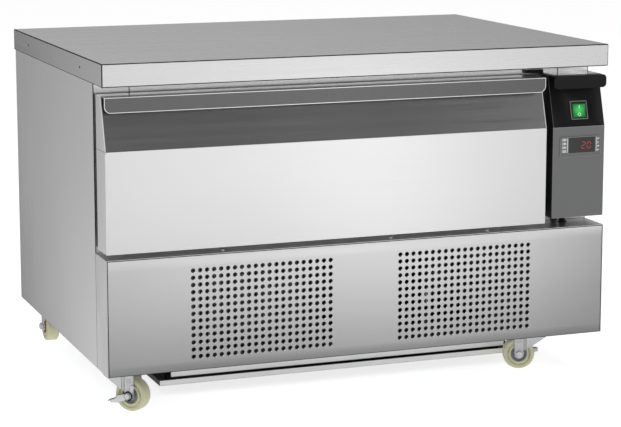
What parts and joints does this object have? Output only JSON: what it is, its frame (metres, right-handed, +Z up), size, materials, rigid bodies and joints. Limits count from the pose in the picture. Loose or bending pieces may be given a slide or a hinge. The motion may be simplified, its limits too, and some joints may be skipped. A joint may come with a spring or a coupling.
{
  "type": "refrigerated drawer unit",
  "caption": "Low stainless refrigerated counter on casters, with one wide insulated drawer above a perforated machine base, a worktop and a control housing at the right.",
  "frame": {"origin": "middle of the footprint, on the floor under the wheels", "axes": "+X to the right seen from the front, +Y to the back, +Z up"},
  "size_m": [1, 0.7, 0.65],
  "materials": {
    "stainless_brushed": "brushed stainless sheet",
    "zinc_plated": "bright zinc plated steel",
    "lip_dark": "brushed stainless in the shade of its lean",
    "foam": "rigid polyurethane foam",
    "core_board": "laminated board",
    "black_plastic": "satin black moulded plastic",
    "fascia_grey": "matt grey lacquer",
    "display_window": "smoked clear window",
    "key_grey": "moulded keys",
    "rocker_green": "translucent green rocker",
    "gasket_grey": "soft extruded seal",
    "coil_fins": "aluminium fins on copper tube",
    "copper_tube": "drawn copper",
    "compressor_black": "black stove enamel",
    "wheel_cream": "cream polyamide tread on a grey hub"
  },
  "bodies": {
    "cabinet": {"side_panel_left": "stainless_brushed", "side_panel_right": "stainless_brushed", "back_panel": "stainless_brushed", "body_skins": "zinc_plated", "insulation": "foam", "inner_liner": "stainless_brushed", "front_frame": "stainless_brushed", "worktop_skin": "stainless_brushed", "worktop_core": "core_board", "screws": "stainless_brushed", "base_floor": "zinc_plated", "base_surround": "stainless_brushed", "base_front_panel": "stainless_brushed", "control_housing": "black_plastic", "control_cap": "black_plastic", "control_fascia": "fascia_grey", "switch_bezel": "black_plastic", "thermostat_case": "fascia_grey", "thermostat_window": "display_window", "cable_glands": "black_plastic", "evaporator_cover": "stainless_brushed", "evaporator_coil": "coil_fins", "evaporator_fan_frame": "black_plastic", "compressor": "compressor_black", "compressor_feet": "gasket_grey", "condenser_coil": "coil_fins", "condenser_fan_frame": "black_plastic", "refrigerant_pipes": "copper_tube", "filter_drier": "copper_tube", "machine_tray": "stainless_brushed", "tray_baffle": "stainless_brushed", "slide_cabinet_members": "zinc_plated", "caster_plates": "zinc_plated"},
    "drawer": {"drawer_front_skin": "stainless_brushed", "drawer_core": "foam", "drawer_end_caps": "stainless_brushed", "drawer_handle_lip": "lip_dark", "drawer_inner_panel": "stainless_brushed", "drawer_gasket": "gasket_grey", "drawer_tub": "stainless_brushed", "slide_drawer_members": "zinc_plated"},
    "middle_rail_left": {"slide_middle_left": "zinc_plated"},
    "middle_rail_right": {"slide_middle_right": "zinc_plated"},
    "rocker": {"switch_rocker": "rocker_green"},
    "evaporator_fan": {"evaporator_fan_rotor": "black_plastic"},
    "condenser_fan": {"condenser_fan_rotor": "black_plastic"},
    "key_1": {"thermostat_key_1": "key_grey"},
    "key_2": {"thermostat_key_2": "key_grey"},
    "key_3": {"thermostat_key_3": "key_grey"},
    "key_4": {"thermostat_key_4": "key_grey"},
    "fork_front_left": {"caster_fork_front_left": "zinc_plated"},
    "wheel_front_left": {"caster_wheel_front_left": "wheel_cream"},
    "fork_front_right": {"caster_fork_front_right": "zinc_plated"},
    "wheel_front_right": {"caster_wheel_front_right": "wheel_cream"},
    "fork_rear_left": {"caster_fork_rear_left": "zinc_plated"},
    "wheel_rear_left": {"caster_wheel_rear_left": "wheel_cream"},
    "fork_rear_right": {"caster_fork_rear_right": "zinc_plated"},
    "wheel_rear_right": {"caster_wheel_rear_right": "wheel_cream"},
    "brake_left": {"brake_lever_left": "zinc_plated"},
    "brake_right": {"brake_lever_right": "zinc_plated"}
  },
  "joints": [
    {"name": "drawer_slide", "type": "slide", "parent": "cabinet", "child": "drawer", "axis": [0, -1, 0], "range_m": [0, 0.5]},
    {"name": "middle_rail_left_slide", "type": "slide", "parent": "cabinet", "child": "middle_rail_left", "axis": [0, -1, 0], "range_m": [0, 0.25]},
    {"name": "middle_rail_right_slide", "type": "slide", "parent": "cabinet", "child": "middle_rail_right", "axis": [0, -1, 0], "range_m": [0, 0.25]},
    {"name": "rocker_tilt", "type": "hinge", "parent": "cabinet", "child": "rocker", "pos_m": [0.4435, -0.33552, 0.52227], "axis": [1, 0, 0], "range_deg": [-16, 0]},
    {"name": "evaporator_fan_spin", "type": "hinge", "parent": "cabinet", "child": "evaporator_fan", "pos_m": [0.3162, 0.19, 0.475], "axis": [1, 0, 0], "continuous": true},
    {"name": "condenser_fan_spin", "type": "hinge", "parent": "cabinet", "child": "condenser_fan", "pos_m": [-0.203, -0.214, 0.1812], "axis": [0, 1, 0], "continuous": true},
    {"name": "key_1_press", "type": "slide", "parent": "cabinet", "child": "key_1", "axis": [0, 1, 0], "range_m": [0, 0.0005], "stiffness_N_per_m": 300},
    {"name": "key_2_press", "type": "slide", "parent": "cabinet", "child": "key_2", "axis": [0, 1, 0], "range_m": [0, 0.0005], "stiffness_N_per_m": 300},
    {"name": "key_3_press", "type": "slide", "parent": "cabinet", "child": "key_3", "axis": [0, 1, 0], "range_m": [0, 0.0005], "stiffness_N_per_m": 300},
    {"name": "key_4_press", "type": "slide", "parent": "cabinet", "child": "key_4", "axis": [0, 1, 0], "range_m": [0, 0.0005], "stiffness_N_per_m": 300},
    {"name": "swivel_front_left", "type": "hinge", "parent": "cabinet", "child": "fork_front_left", "pos_m": [-0.448, -0.258, 0.08], "axis": [0, 0, 1], "continuous": true},
    {"name": "roll_front_left", "type": "hinge", "parent": "fork_front_left", "child": "wheel_front_left", "pos_m": [-0.43032, -0.27568, 0.031], "axis": [0.7071, 0.7071, 0], "continuous": true},
    {"name": "swivel_front_right", "type": "hinge", "parent": "cabinet", "child": "fork_front_right", "pos_m": [0.392, -0.258, 0.08], "axis": [0, 0, 1], "continuous": true},
    {"name": "roll_front_right", "type": "hinge", "parent": "fork_front_right", "child": "wheel_front_right", "pos_m": [0.36851, -0.24945, 0.031], "axis": [-0.342, -0.9397, 0], "continuous": true},
    {"name": "swivel_rear_left", "type": "hinge", "parent": "cabinet", "child": "fork_rear_left", "pos_m": [-0.448, 0.274, 0.08], "axis": [0, 0, 1], "continuous": true},
    {"name": "roll_rear_left", "type": "hinge", "parent": "fork_rear_left", "child": "wheel_rear_left", "pos_m": [-0.448, 0.299, 0.031], "axis": [-1, 0, 0], "continuous": true},
    {"name": "swivel_rear_right", "type": "hinge", "parent": "cabinet", "child": "fork_rear_right", "pos_m": [0.392, 0.274, 0.08], "axis": [0, 0, 1], "continuous": true},
    {"name": "roll_rear_right", "type": "hinge", "parent": "fork_rear_right", "child": "wheel_rear_right", "pos_m": [0.37035, 0.2865, 0.031], "axis": [-0.5, -0.866, 0], "continuous": true},
    {"name": "brake_left_tilt", "type": "hinge", "parent": "fork_front_left", "child": "brake_left", "pos_m": [-0.43032, -0.27568, 0.031], "axis": [0.7071, 0.7071, 0], "range_deg": [0, 20]},
    {"name": "brake_right_tilt", "type": "hinge", "parent": "fork_front_right", "child": "brake_right", "pos_m": [0.36851, -0.24945, 0.031], "axis": [-0.342, -0.9397, 0], "range_deg": [-20, 0]}
  ],
  "couplings": [
    {"joint": "middle_rail_left_slide", "follows": "drawer_slide", "ratio": 0.5},
    {"joint": "middle_rail_right_slide", "follows": "drawer_slide", "ratio": 0.5}
  ]
}
